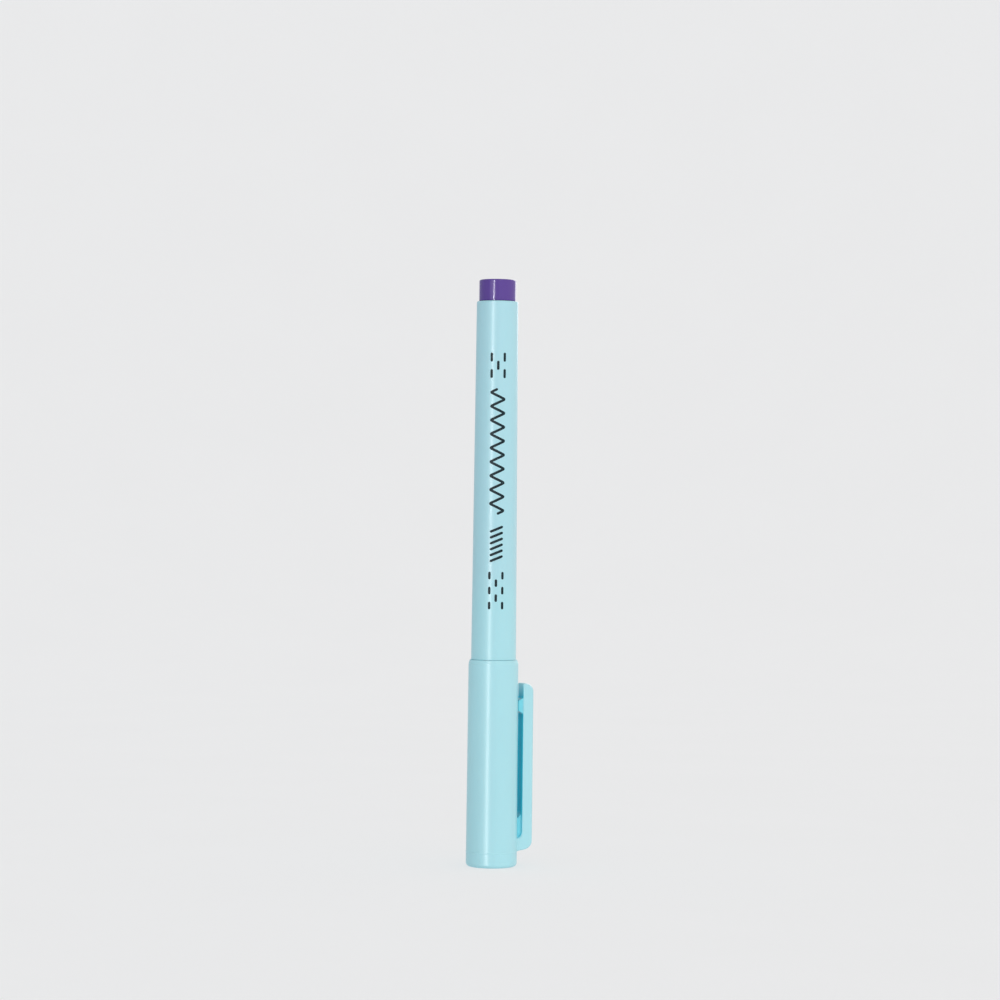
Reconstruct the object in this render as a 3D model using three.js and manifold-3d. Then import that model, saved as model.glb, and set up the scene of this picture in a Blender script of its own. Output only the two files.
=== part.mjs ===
// Fabric marking pen with its cap on: a tapered barrel with a tail plug, a push-on cap with a pocket clip,
// and the nib, ink reservoir and seals inside. Millimetres. +Z runs up the pen from the cap's closed end to
// the tail, the origin is the centre of the cap's closed end, and the clip is on +X.
import * as THREE from 'three';
import { mergeVertices } from 'three/addons/utils/BufferGeometryUtils.js';
import Module from 'manifold-3d';

const wasm = await Module();
wasm.setup();

// Driving dimensions, along the pen
const PEN_LENGTH = 138;
const CAP_LENGTH = 48.6;
const PLUG_HEAD_LENGTH = 5.1;
const NECK_START = 29.1; // front end of the barrel tube, inside the cap
const NIB_TIP = 9;

// Cap shell
const CAP_END_RADIUS = 6;
const CAP_MOUTH_RADIUS = 5.86; // just below the lip
const CAP_LIP_RADIUS = 5.58;
const CAP_LIP_HEIGHT = 0.9;
const CAP_END_ROUNDING = 0.9;
const CAP_FLOOR = 1.5;
const CAP_BORE_AT_MOUTH = 4.85;
const CAP_BORE_AT_FLOOR = 4.62;
const CAP_MOUTH_LEAD_IN = 0.25;
const RING_HEIGHT = 3.5; // middle of the fine raised ring
const RING_WIDTH = 0.3;
const RING_PROUD = 0.05;

// Pocket clip
const CLIP_ROOT_BOTTOM = 3.6; // at the cap's wall
const CLIP_ROOT_SLOPE = 0.17; // how the root's underside rises away from the cap
const CLIP_ROOT_TOP = 6.4;
const CLIP_TIP = 43;
const CLIP_INNER = 6.84; // distance of the arm's inner face from the pen's axis
const CLIP_OUTER = 9.8;
const CLIP_WIDTH = 4.2;
const CLIP_CROWN = 0.75; // how far the outer face bulges past the arm's sides
const CLIP_ROOT_ROUNDING = 1.6;
const CLIP_TIP_ROUNDING = 2;
const CLIP_INNER_FILLET = 1.7;
const CLIP_INNER_CHAMFER = 0.3;
const CLIP_BURIED = 5; // the root runs in to here before the cap's outline is cut from it
const CLIP_GAP = 0.3; // between the clip's foot and the cap's wall
const WEB_TOP_AT_ARM = 12.4;
const WEB_TOP_AT_CAP = 11.2;
const WEB_WIDTH = 2.6;
const PAD_BOTTOM = 35.9;
const PAD_TOP = 39.6;
const PAD_FACE = 6.12; // distance of the pad's gripping face from the pen's axis
const PAD_SLOPE = 0.8;
const PAD_WIDTH = 3.4;

// Inner cap
const LINER_GAP = 0.1; // between the liner and the cap's bore and floor
const LINER_MOUTH = 27.2;
const LINER_FOOT_BORE = 3.6;
const LINER_WEB_BOTTOM = 6.3;
const LINER_WEB_TOP = 7.5;
const LINER_CAVITY_AT_WEB = 3.2;
const LINER_CAVITY_AT_SEAL = 3.9;
const LINER_SEAL_RADIUS = 4.05;
const LINER_SEAL_START = 24.4;
const LINER_LEAD_IN = 0.25;

// Barrel
const SHOULDER_GAP = 0.1; // between the cap's lip and the barrel's shoulder
const BARREL_SHOULDER_RADIUS = 5.28;
const BARREL_TAIL_RADIUS = 4.86;
const BARREL_EDGE = 0.1;
const BARREL_RIM = 0.25;
const NECK_RADIUS = 4.62;
const NECK_LEAD_IN = 0.3;
const NECK_BORE = 3.5;
const NECK_BORE_TOP = 38;
const BEAD_HEIGHT = 44.3; // middle of the retaining bead
const BEAD_WIDTH = 1.4;
const BEAD_FLAT = 0.6;
const BEAD_RADIUS = 4.76;
const BORE_AT_NECK = 3.76;
const BORE_AT_TAIL = 4;

// Nib holder and nib
const HOLDER_BACK = 37.7;
const HOLDER_FLANGE_BOTTOM = 27.6;
const HOLDER_FLANGE_RADIUS = 4.5;
const HOLDER_SEAL_RADIUS = 3.98;
const HOLDER_SEAL_START = 24.8;
const HOLDER_LEAD_IN = 0.25;
const HOLDER_CONE_RADIUS = 3.7;
const HOLDER_TUBE_TOP = 14.4;
const HOLDER_TUBE_RADIUS = 1.5;
const HOLDER_TIP = 11.3;
const HOLDER_TIP_EDGE = 0.35;
const HOLDER_CUP_RADIUS = 2.7;
const HOLDER_CUP_START = 32.2;
const NIB_RADIUS = 0.8;
const NIB_TAPER_START = 11.6;
const NIB_POINT_RADIUS = 0.25;
const NIB_BACK = 43;

// Ink reservoir
const RESERVOIR_START = 38.3;
const RESERVOIR_END = 124;
const CORE_RADIUS = 3.5;
const FILM_INNER_RADIUS = 3.53;
const FILM_OUTER_RADIUS = 3.63;

// Tail plug
const PLUG_HEAD_RADIUS = 4.33;
const PLUG_HEAD_ROUNDING = 0.4;
const PLUG_SKIRT_BOTTOM = 126.5;
const PLUG_HOLLOW_RADIUS = 3;
const PLUG_TOP_WALL = 1.5;
const PLUG_LEAD_IN = 0.35;

// Clearance between pieces that are pressed together
const SEAT_GAP = 0.06;

// Facets around a turned piece
const SHELL_SIDES = 64;
const INNER_SIDES = 48;
const NIB_SIDES = 24;
const ARC_STEPS = 8; // along a rounded corner of the clip
const ROUNDING_STEPS = 4; // along a rounded edge of a turned piece

const BARREL_END = PEN_LENGTH - PLUG_HEAD_LENGTH;
const WELD = 1e-4; // corners closer than this are one corner

const aqua = { color: 0xb3e3ea, roughness: 0.38, metalness: 0 };
const purple = { color: 0x6a4e9a, roughness: 0.3, metalness: 0 };
const linerWhite = { color: 0xe9edee, roughness: 0.55, metalness: 0 };
const holderWhite = { color: 0xf1f1ec, roughness: 0.45, metalness: 0 };
const inkedFibre = { color: 0x7a5aa6, roughness: 0.9, metalness: 0 };
const reservoirFibre = { color: 0x8d74b4, roughness: 0.95, metalness: 0 };
const clearFilm = { color: 0xdfe6ea, roughness: 0.25, metalness: 0 };

function mesh(name, geometry, look) {
  const piece = new THREE.Mesh(geometry, new THREE.MeshStandardMaterial(look));
  piece.name = name;
  return piece;
}

// Points of a quarter round from one [radius, height] to another, bulging towards the corner between them.
function quarterRound(from, corner, to) {
  const curve = [];
  for (let step = 0; step <= ROUNDING_STEPS; step += 1) {
    const angle = (step / ROUNDING_STEPS) * (Math.PI / 2);
    const towardsTo = 1 - Math.cos(angle);
    const towardsCorner = Math.sin(angle);
    curve.push([
      from[0] + (corner[0] - from[0]) * towardsCorner + (to[0] - corner[0]) * towardsTo,
      from[1] + (corner[1] - from[1]) * towardsCorner + (to[1] - corner[1]) * towardsTo,
    ]);
  }
  return curve;
}

// A piece turned about +Z from [radius, height] pairs, listed up the outside and back down the inside.
function turned(outline, sides) {
  const points = outline.map(([radius, height]) => new THREE.Vector2(radius, height));
  const geometry = new THREE.LatheGeometry(points, sides);
  geometry.rotateX(Math.PI / 2);
  return geometry;
}

// Where a straight taper between two heights has got to.
function taper(height, low, radiusAtLow, high, radiusAtHigh) {
  return radiusAtLow + ((height - low) / (high - low)) * (radiusAtHigh - radiusAtLow);
}

function capOutside(height) {
  return taper(height, 0, CAP_END_RADIUS, CAP_LENGTH - CAP_LIP_HEIGHT, CAP_MOUTH_RADIUS);
}

function capBore(height) {
  return taper(height, CAP_FLOOR, CAP_BORE_AT_FLOOR, CAP_LENGTH, CAP_BORE_AT_MOUTH);
}

function barrelBore(height) {
  return taper(height, NECK_BORE_TOP, BORE_AT_NECK, BARREL_END, BORE_AT_TAIL);
}

function capShell() {
  const ringLow = RING_HEIGHT - RING_WIDTH / 2;
  const ringHigh = RING_HEIGHT + RING_WIDTH / 2;
  const lipStart = CAP_LENGTH - CAP_LIP_HEIGHT;
  const boreTop = CAP_LENGTH - CAP_MOUTH_LEAD_IN;
  const outline = [
    [0, 0],
    ...quarterRound(
      [CAP_END_RADIUS - CAP_END_ROUNDING, 0],
      [CAP_END_RADIUS, 0],
      [capOutside(CAP_END_ROUNDING), CAP_END_ROUNDING],
    ),
    [capOutside(ringLow), ringLow],
    [capOutside(RING_HEIGHT) + RING_PROUD, RING_HEIGHT],
    [capOutside(ringHigh), ringHigh],
    [CAP_MOUTH_RADIUS, lipStart],
    [CAP_LIP_RADIUS, CAP_LENGTH],
    [capBore(boreTop) + CAP_MOUTH_LEAD_IN, CAP_LENGTH],
    [capBore(boreTop), boreTop],
    [CAP_BORE_AT_FLOOR, CAP_FLOOR],
    [0, CAP_FLOOR],
  ];
  return mesh('cap_shell', turned(outline, SHELL_SIDES), aqua);
}

function innerCap() {
  const bottom = CAP_FLOOR + LINER_GAP;
  const sealEnd = LINER_MOUTH - LINER_LEAD_IN;
  const outline = [
    [0, LINER_WEB_BOTTOM],
    [LINER_FOOT_BORE, LINER_WEB_BOTTOM],
    [LINER_FOOT_BORE, bottom],
    [capBore(bottom) - LINER_GAP, bottom],
    [capBore(LINER_MOUTH) - LINER_GAP, LINER_MOUTH],
    [LINER_SEAL_RADIUS + LINER_LEAD_IN, LINER_MOUTH],
    [LINER_SEAL_RADIUS, sealEnd],
    [LINER_SEAL_RADIUS, LINER_SEAL_START],
    [LINER_CAVITY_AT_SEAL, LINER_SEAL_START - LINER_LEAD_IN],
    [LINER_CAVITY_AT_WEB, LINER_WEB_TOP],
    [0, LINER_WEB_TOP],
  ];
  return mesh('inner_cap', turned(outline, INNER_SIDES), linerWhite);
}

function barrel() {
  const shoulder = CAP_LENGTH + SHOULDER_GAP;
  const beadFoot = BEAD_WIDTH / 2;
  const beadFlat = BEAD_FLAT / 2;
  const outline = [
    [NECK_BORE + SEAT_GAP, NECK_START],
    [NECK_RADIUS - NECK_LEAD_IN, NECK_START],
    [NECK_RADIUS, NECK_START + NECK_LEAD_IN],
    [NECK_RADIUS, BEAD_HEIGHT - beadFoot],
    [BEAD_RADIUS, BEAD_HEIGHT - beadFlat],
    [BEAD_RADIUS, BEAD_HEIGHT + beadFlat],
    [NECK_RADIUS, BEAD_HEIGHT + beadFoot],
    [NECK_RADIUS, shoulder],
    [BARREL_SHOULDER_RADIUS - BARREL_EDGE, shoulder],
    [BARREL_SHOULDER_RADIUS, shoulder + BARREL_EDGE],
    [BARREL_TAIL_RADIUS, BARREL_END - BARREL_RIM],
    [BARREL_TAIL_RADIUS - BARREL_RIM, BARREL_END],
    [BORE_AT_TAIL, BARREL_END],
    [BORE_AT_NECK, NECK_BORE_TOP],
    [NECK_BORE, NECK_BORE_TOP],
    [NECK_BORE, NECK_START + SEAT_GAP],
    [NECK_BORE + SEAT_GAP, NECK_START],
  ];
  return mesh('barrel', turned(outline, SHELL_SIDES), aqua);
}

function nibHolder() {
  const flangeTop = NECK_START - SEAT_GAP;
  const spigotRadius = NECK_BORE - SEAT_GAP;
  const nibBore = NIB_RADIUS + SEAT_GAP;
  const outline = [
    [nibBore, HOLDER_TIP],
    [HOLDER_TUBE_RADIUS - HOLDER_TIP_EDGE, HOLDER_TIP],
    [HOLDER_TUBE_RADIUS, HOLDER_TIP + HOLDER_TIP_EDGE],
    [HOLDER_TUBE_RADIUS, HOLDER_TUBE_TOP],
    [HOLDER_CONE_RADIUS, HOLDER_SEAL_START],
    [HOLDER_SEAL_RADIUS, HOLDER_SEAL_START + HOLDER_LEAD_IN],
    [HOLDER_SEAL_RADIUS, HOLDER_FLANGE_BOTTOM],
    [HOLDER_FLANGE_RADIUS, HOLDER_FLANGE_BOTTOM],
    [HOLDER_FLANGE_RADIUS, flangeTop],
    [spigotRadius, flangeTop],
    [spigotRadius, HOLDER_BACK],
    [HOLDER_CUP_RADIUS, HOLDER_BACK],
    [HOLDER_CUP_RADIUS, HOLDER_CUP_START],
    [nibBore, HOLDER_CUP_START - HOLDER_CUP_RADIUS + nibBore],
    [nibBore, HOLDER_TIP],
  ];
  return mesh('nib_holder', turned(outline, INNER_SIDES), holderWhite);
}

function nib() {
  const outline = [
    [0, NIB_TIP],
    ...quarterRound(
      [0, NIB_TIP],
      [NIB_POINT_RADIUS, NIB_TIP],
      [NIB_POINT_RADIUS, NIB_TIP + NIB_POINT_RADIUS],
    ).slice(1),
    [NIB_RADIUS, NIB_TAPER_START],
    [NIB_RADIUS, NIB_BACK],
    [0, NIB_BACK],
  ];
  return mesh('nib', turned(outline, NIB_SIDES), inkedFibre);
}

function reservoirCore() {
  const socketRadius = NIB_RADIUS + SEAT_GAP;
  const outline = [
    [0, NIB_BACK + SEAT_GAP],
    [socketRadius, NIB_BACK + SEAT_GAP],
    [socketRadius, RESERVOIR_START],
    [CORE_RADIUS, RESERVOIR_START],
    [CORE_RADIUS, RESERVOIR_END],
    [0, RESERVOIR_END],
  ];
  return mesh('reservoir_core', turned(outline, INNER_SIDES), reservoirFibre);
}

function reservoirFilm() {
  const outline = [
    [FILM_INNER_RADIUS, RESERVOIR_START],
    [FILM_OUTER_RADIUS, RESERVOIR_START],
    [FILM_OUTER_RADIUS, RESERVOIR_END],
    [FILM_INNER_RADIUS, RESERVOIR_END],
    [FILM_INNER_RADIUS, RESERVOIR_START],
  ];
  return mesh('reservoir_film', turned(outline, INNER_SIDES), clearFilm);
}

function tailPlug() {
  const skirtTop = BARREL_END + SEAT_GAP;
  const roundingStart = PEN_LENGTH - PLUG_HEAD_ROUNDING;
  const hollowTop = PEN_LENGTH - PLUG_TOP_WALL;
  const outline = [
    [0, hollowTop],
    [PLUG_HOLLOW_RADIUS, hollowTop],
    [PLUG_HOLLOW_RADIUS, PLUG_SKIRT_BOTTOM],
    [barrelBore(PLUG_SKIRT_BOTTOM) - PLUG_LEAD_IN, PLUG_SKIRT_BOTTOM],
    [barrelBore(PLUG_SKIRT_BOTTOM) - SEAT_GAP, PLUG_SKIRT_BOTTOM + PLUG_LEAD_IN],
    [BORE_AT_TAIL - SEAT_GAP, skirtTop],
    [PLUG_HEAD_RADIUS, skirtTop],
    ...quarterRound(
      [PLUG_HEAD_RADIUS, roundingStart],
      [PLUG_HEAD_RADIUS, PEN_LENGTH],
      [PLUG_HEAD_RADIUS - PLUG_HEAD_ROUNDING, PEN_LENGTH],
    ),
    [0, PEN_LENGTH],
  ];
  return mesh('tail_plug', turned(outline, INNER_SIDES), purple);
}

function solid(geometry) {
  geometry.deleteAttribute('normal');
  geometry.deleteAttribute('uv');
  const welded = mergeVertices(geometry, WELD);
  const vertProperties = welded.attributes.position.array;
  const triVerts = Uint32Array.from(welded.index.array);
  return new wasm.Manifold(new wasm.Mesh({ numProp: 3, vertProperties, triVerts }));
}

function geometryOf(body) {
  const { vertProperties, triVerts } = body.getMesh();
  const geometry = new THREE.BufferGeometry();
  geometry.setAttribute('position', new THREE.BufferAttribute(vertProperties, 3));
  geometry.setIndex(new THREE.BufferAttribute(triVerts, 1));
  geometry.computeVertexNormals();
  return geometry;
}

// A shape drawn as distance from the axis and height, made into a slab of the given width centred on y = 0.
function sideSlab(shape, width) {
  const geometry = new THREE.ExtrudeGeometry(shape, {
    depth: width,
    bevelEnabled: false,
    curveSegments: ARC_STEPS,
  });
  geometry.rotateX(Math.PI / 2);
  geometry.translate(0, width / 2, 0);
  return solid(geometry);
}

function rootUnderside(across) {
  return CLIP_ROOT_BOTTOM + CLIP_ROOT_SLOPE * (across - CAP_END_RADIUS);
}

// The clip's side view: the root, the arm with its rounded ends, and the fillet where arm and root meet.
function clipSideView() {
  const filletTop = CLIP_ROOT_TOP + CLIP_INNER_FILLET;
  const tilt = Math.atan(CLIP_ROOT_SLOPE);
  const cornerAcross = CLIP_OUTER - CLIP_ROOT_ROUNDING;
  const cornerHeight = rootUnderside(cornerAcross) + CLIP_ROOT_ROUNDING / Math.cos(tilt);
  const tipAcross = CLIP_OUTER - CLIP_TIP_ROUNDING;
  const tipHeight = CLIP_TIP - CLIP_TIP_ROUNDING;
  const shape = new THREE.Shape();
  shape.moveTo(CLIP_BURIED, rootUnderside(CLIP_BURIED));
  shape.lineTo(
    cornerAcross + CLIP_ROOT_ROUNDING * Math.sin(tilt),
    cornerHeight - CLIP_ROOT_ROUNDING * Math.cos(tilt),
  );
  shape.absarc(cornerAcross, cornerHeight, CLIP_ROOT_ROUNDING, tilt - Math.PI / 2, 0);
  shape.absarc(tipAcross, tipHeight, CLIP_TIP_ROUNDING, 0, Math.PI / 2);
  shape.lineTo(CLIP_INNER + CLIP_INNER_CHAMFER, CLIP_TIP);
  shape.lineTo(CLIP_INNER, CLIP_TIP - CLIP_INNER_CHAMFER);
  shape.absarc(CLIP_INNER - CLIP_INNER_FILLET, filletTop, CLIP_INNER_FILLET, 0, -Math.PI / 2, true);
  shape.lineTo(CLIP_BURIED, CLIP_ROOT_TOP);
  return shape;
}

// The arm's cross-section: flat inner face and sides, and a crowned outer face.
function clipCrossSection() {
  const half = CLIP_WIDTH / 2;
  const sideEnd = CLIP_OUTER - CLIP_CROWN;
  const shape = new THREE.Shape();
  shape.moveTo(CLIP_BURIED, -half);
  shape.lineTo(sideEnd, -half);
  shape.absellipse(sideEnd, 0, CLIP_CROWN, half, -Math.PI / 2, Math.PI / 2);
  shape.lineTo(CLIP_BURIED, half);
  return shape;
}

// A slab behind the arm's inner face, which its back edge runs into so that the two join.
function behindArm(corners, width) {
  const shape = new THREE.Shape(corners.map(([across, height]) => new THREE.Vector2(across, height)));
  return sideSlab(shape, width);
}

function clip() {
  const inArm = (CLIP_INNER + CLIP_OUTER) / 2;
  const slope = (WEB_TOP_AT_ARM - WEB_TOP_AT_CAP) / (CLIP_INNER - CAP_END_RADIUS);
  const web = behindArm([
    [CLIP_BURIED, CLIP_ROOT_BOTTOM + CLIP_ROOT_ROUNDING],
    [inArm, CLIP_ROOT_BOTTOM + CLIP_ROOT_ROUNDING],
    [inArm, WEB_TOP_AT_ARM],
    [CLIP_INNER, WEB_TOP_AT_ARM],
    [CLIP_BURIED, WEB_TOP_AT_ARM - slope * (CLIP_INNER - CLIP_BURIED)],
  ], WEB_WIDTH);
  const pad = behindArm([
    [PAD_FACE, PAD_BOTTOM + PAD_SLOPE],
    [CLIP_INNER, PAD_BOTTOM],
    [inArm, PAD_BOTTOM],
    [inArm, PAD_TOP],
    [CLIP_INNER, PAD_TOP],
    [PAD_FACE, PAD_TOP - PAD_SLOPE],
  ], PAD_WIDTH);
  const section = new THREE.ExtrudeGeometry(clipCrossSection(), {
    depth: CAP_LENGTH,
    bevelEnabled: false,
    curveSegments: ARC_STEPS,
  });
  const capRoom = solid(turned([
    [0, 0],
    [capOutside(0) + CLIP_GAP, 0],
    [capOutside(CAP_LENGTH) + CLIP_GAP, CAP_LENGTH],
    [0, CAP_LENGTH],
  ], SHELL_SIDES));
  const arm = sideSlab(clipSideView(), CLIP_WIDTH).intersect(solid(section));
  const body = arm.add(web).subtract(capRoom).add(pad);
  return mesh('clip', geometryOf(body), aqua);
}

const pen = new THREE.Group();
pen.add(barrel(), nibHolder(), nib(), reservoirCore(), reservoirFilm(), tailPlug());

const cap = new THREE.Group();
cap.add(capShell(), clip(), innerCap());

const markingPen = new THREE.Group();
markingPen.add(cap, pen);

export default markingPen;
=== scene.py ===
"""The looks of a capped fabric marking pen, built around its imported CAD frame.

+Z runs up the pen from the cap's closed end to the tail, and the clip is on +X. Shapes are worked out in
millimetres and turned into metres when a mesh is made.
"""
import math

import bmesh
import bpy
import numpy as np
from mathutils import Matrix, Vector


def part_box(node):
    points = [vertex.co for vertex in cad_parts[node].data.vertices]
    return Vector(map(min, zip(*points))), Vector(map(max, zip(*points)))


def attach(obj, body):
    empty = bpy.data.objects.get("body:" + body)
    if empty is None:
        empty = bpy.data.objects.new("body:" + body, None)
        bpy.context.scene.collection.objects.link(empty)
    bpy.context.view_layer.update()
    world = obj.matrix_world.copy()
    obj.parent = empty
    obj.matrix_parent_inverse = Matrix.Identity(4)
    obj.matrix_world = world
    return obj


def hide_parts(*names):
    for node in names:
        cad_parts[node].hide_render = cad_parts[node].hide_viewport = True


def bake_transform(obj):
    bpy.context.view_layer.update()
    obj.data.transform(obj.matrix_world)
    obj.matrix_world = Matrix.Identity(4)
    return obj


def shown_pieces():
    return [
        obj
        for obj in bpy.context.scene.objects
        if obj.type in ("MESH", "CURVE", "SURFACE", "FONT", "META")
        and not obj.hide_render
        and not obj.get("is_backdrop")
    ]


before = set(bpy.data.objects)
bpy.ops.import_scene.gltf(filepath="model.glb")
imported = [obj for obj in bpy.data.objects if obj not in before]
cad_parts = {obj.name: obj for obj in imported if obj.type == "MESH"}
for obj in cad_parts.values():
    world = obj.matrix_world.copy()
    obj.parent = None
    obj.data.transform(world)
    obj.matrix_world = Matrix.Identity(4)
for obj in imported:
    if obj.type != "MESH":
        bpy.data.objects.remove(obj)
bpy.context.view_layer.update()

MM = 0.001
CAMERA_BEARING = -18  # degrees; 0 looks along +Y. The print on the barrel faces the camera


def node_box(node):
    """Lowest and highest corner of a CAD node, in millimetres."""
    low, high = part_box(node)
    return low / MM, high / MM


def node_heights(node):
    """Where a CAD node starts and ends along the pen."""
    low, high = node_box(node)
    return low.z, high.z


def node_radius(node):
    """The largest radius of a CAD node that is round about the pen's axis."""
    return node_box(node)[1].y


# Heights along the pen, from the frame
CAP_LENGTH = node_heights("cap_shell")[1]
CLIP_TIP = node_heights("clip")[1]
LINER_BOTTOM, LINER_MOUTH = node_heights("inner_cap")
NIB_TIP, NIB_BACK = node_heights("nib")
HOLDER_TIP, HOLDER_BACK = node_heights("nib_holder")
NECK_START, BARREL_END = node_heights("barrel")
CORE_START, CORE_END = node_heights("reservoir_core")
PLUG_SKIRT_BOTTOM, PEN_LENGTH = node_heights("tail_plug")

# Radii and the clip's size across, from the frame
HOLDER_FLANGE_RADIUS = node_radius("nib_holder")
NIB_RADIUS = node_radius("nib")
CORE_RADIUS = node_radius("reservoir_core")
FILM_RADIUS = node_radius("reservoir_film")
PLUG_HEAD_RADIUS = node_radius("tail_plug")
SHOULDER_RADIUS = node_radius("barrel")
CLIP_OUTER, CLIP_HALF_WIDTH = node_box("clip")[1].xy

# Cap shell
CAP_END_RADIUS = 6
CAP_MOUTH_RADIUS = 5.86
CAP_LIP_RADIUS = 5.58
CAP_LIP_HEIGHT = 0.9
CAP_END_ROUNDING = 0.9
CAP_FLOOR = 1.5
CAP_BORE_AT_FLOOR, CAP_BORE_AT_MOUTH = 4.62, 4.85
CAP_MOUTH_LEAD = 0.25
RING_HEIGHT = 3.5
RING_HALF_WIDTH = 0.15
RING_PROUD = 0.05
GATE_RADIUS, GATE_DEPTH = 1.1, 0.22  # the dimple that a moulding gate leaves in the closed end
GATE_DRAFT = 0.1
GATE_NUB_RADIUS, GATE_NUB_HEIGHT = 0.35, 0.14

# Clip
ROOT_BOTTOM, ROOT_TOP = 3.6, 6.4
ROOT_SLOPE = 0.17  # how the root's underside rises away from the cap
ROOT_ROUNDING, TIP_ROUNDING = 1.6, 2.0
CLIP_INNER = 6.84  # distance of the arm's inner face from the pen's axis
CROWN_RADIUS = 4.0  # of the arm's outer face, across the arm
INNER_FILLET = 1.7
INNER_TIP_ROUNDING = 0.3
ARM_EDGE = 0.35
WEB_HALF_WIDTH = 1.3
WEB_TOP_AT_CAP, WEB_TOP_AT_ARM = 11.2, 12.4
WEB_BOTTOM = 5.2
WEB_FILLET = 0.25
PAD_BOTTOM, PAD_TOP = 35.9, 39.6
PAD_GAP = 0.06  # between the pad's face and the cap's wall
PAD_DEPTH = 0.8
PAD_SLOPE = 0.5  # how far the pad's ends lean in over its depth
PAD_HALF_WIDTH = 1.8
PAD_EDGE = 0.1
INTO_ARM = 1  # how far the web and the pad run into the arm
FOOT_FILLET = 0.35
FOOT_TOP = 20  # the foot's flare is only below this height
FOOT_UNDERCUT = 0.01  # the flare ends this far under the cap's wall
FOOT_BURIED = 0.25  # how far the foot runs into the cap's wall
FOOT_SPREAD = 0.6  # and no farther than this from the clip itself
CLIP_MESH_STEP = 0.1
PAST_CLIP_LOW, PAST_CLIP_HIGH = (0.9, 0.9, 1.1), (0.3, 0.9, 0.3)  # how far its grid goes past the clip
SETTLING_ROUNDS = 4
LEAST_STEEPNESS = 0.25  # keeps a vertex from jumping where the distance field is nearly level

# Barrel
TAIL_RADIUS = 4.86
SHOULDER_GAP = 0.04
SHOULDER_HEIGHT = CAP_LENGTH + SHOULDER_GAP
NECK_RADIUS, NECK_BORE, NECK_BORE_TOP = 4.62, 3.5, 38
BEAD_HEIGHT, BEAD_HALF_WIDTH, BEAD_HALF_FLAT, BEAD_RADIUS = 44.3, 0.7, 0.3, 4.76
NECK_LEAD = 0.3
BARREL_EDGE, BARREL_RIM = 0.06, 0.25  # roundings of the shoulder's edge and the tail's rim
BORE_AT_NECK, BORE_AT_TAIL = 3.76, 4.0
SEAT_GAP = 0.06  # between pieces that are pressed together

# Nib holder, nib and inner cap
SEAL_RADIUS, SEAL_START, SEAL_LEAD = 3.98, 24.8, 0.25
FLANGE_BOTTOM = 27.6
CONE_RADIUS, TUBE_TOP, TUBE_RADIUS = 3.7, 14.4, 1.5
CUP_RADIUS, CUP_START = 2.7, 32.2
NIB_TAPER_START, NIB_POINT_RADIUS = 11.6, 0.25
LINER_FOOT_BORE, LINER_WEB_BOTTOM, LINER_WEB_TOP = 3.6, 6.3, 7.5
LINER_CAVITY_AT_WEB, LINER_CAVITY_AT_SEAL = 3.2, 3.9
LINER_SEAL_RADIUS, LINER_SEAL_START = 4.05, 24.4
LINER_LEAD = 0.25
LINER_GAP = 0.1  # between the inner cap and the cap's bore
FILM_WALL = 0.1

# Tail plug
PLUG_HEAD_ROUNDING = 0.4
PLUG_HOLLOW_RADIUS, PLUG_TOP_WALL = 3.0, 1.5
PLUG_LEAD = 0.35

# Mesh fineness
SHELL_SIDES = 192
INNER_SIDES = 128
NIB_SIDES = 64
RING_SPACING = 4  # the longest stretch of a turned outline between two rings
ARC_DEGREES = 12  # the widest step round a rounded corner
ARC_ROOM = 0.98  # the most of the room beside a corner that its arc takes
SUPPORT = 0.04  # distance from an arc's end to the ring that keeps the flat beside it flat
LEAST_SUPPORT = SUPPORT / 10  # a support ring nearer than this is left out
ON_AXIS = SUPPORT / 100  # an outline's point nearer to the axis than this is on it
SAME_POINT = 0.001  # vertices closer than this are joined into one


def taper(height, low, at_low, high, at_high):
    """Where a straight taper between two heights has got to."""
    return at_low + (height - low) / (high - low) * (at_high - at_low)


def cap_radius(height):
    return taper(height, 0, CAP_END_RADIUS, CAP_LENGTH - CAP_LIP_HEIGHT, CAP_MOUTH_RADIUS)


def cap_bore(height):
    return taper(height, CAP_FLOOR, CAP_BORE_AT_FLOOR, CAP_LENGTH, CAP_BORE_AT_MOUTH)


def barrel_radius(height):
    return taper(height, SHOULDER_HEIGHT, SHOULDER_RADIUS, BARREL_END, TAIL_RADIUS)


def barrel_bore(height):
    return taper(height, NECK_BORE_TOP, BORE_AT_NECK, BARREL_END, BORE_AT_TAIL)


def make_mesh(name, vertices, faces):
    """A smooth-shaded object from vertices in millimetres, with its faces pointing out."""
    mesh = bpy.data.meshes.new(name)
    mesh.from_pydata((np.asarray(vertices) * MM).tolist(), [], faces)
    tidy = bmesh.new()
    tidy.from_mesh(mesh)
    bmesh.ops.remove_doubles(tidy, verts=tidy.verts, dist=SAME_POINT * MM)
    bmesh.ops.recalc_face_normals(tidy, faces=tidy.faces)
    tidy.to_mesh(mesh)
    tidy.free()
    mesh.shade_smooth()
    piece = bpy.data.objects.new(name, mesh)
    bpy.context.scene.collection.objects.link(piece)
    return piece


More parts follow.
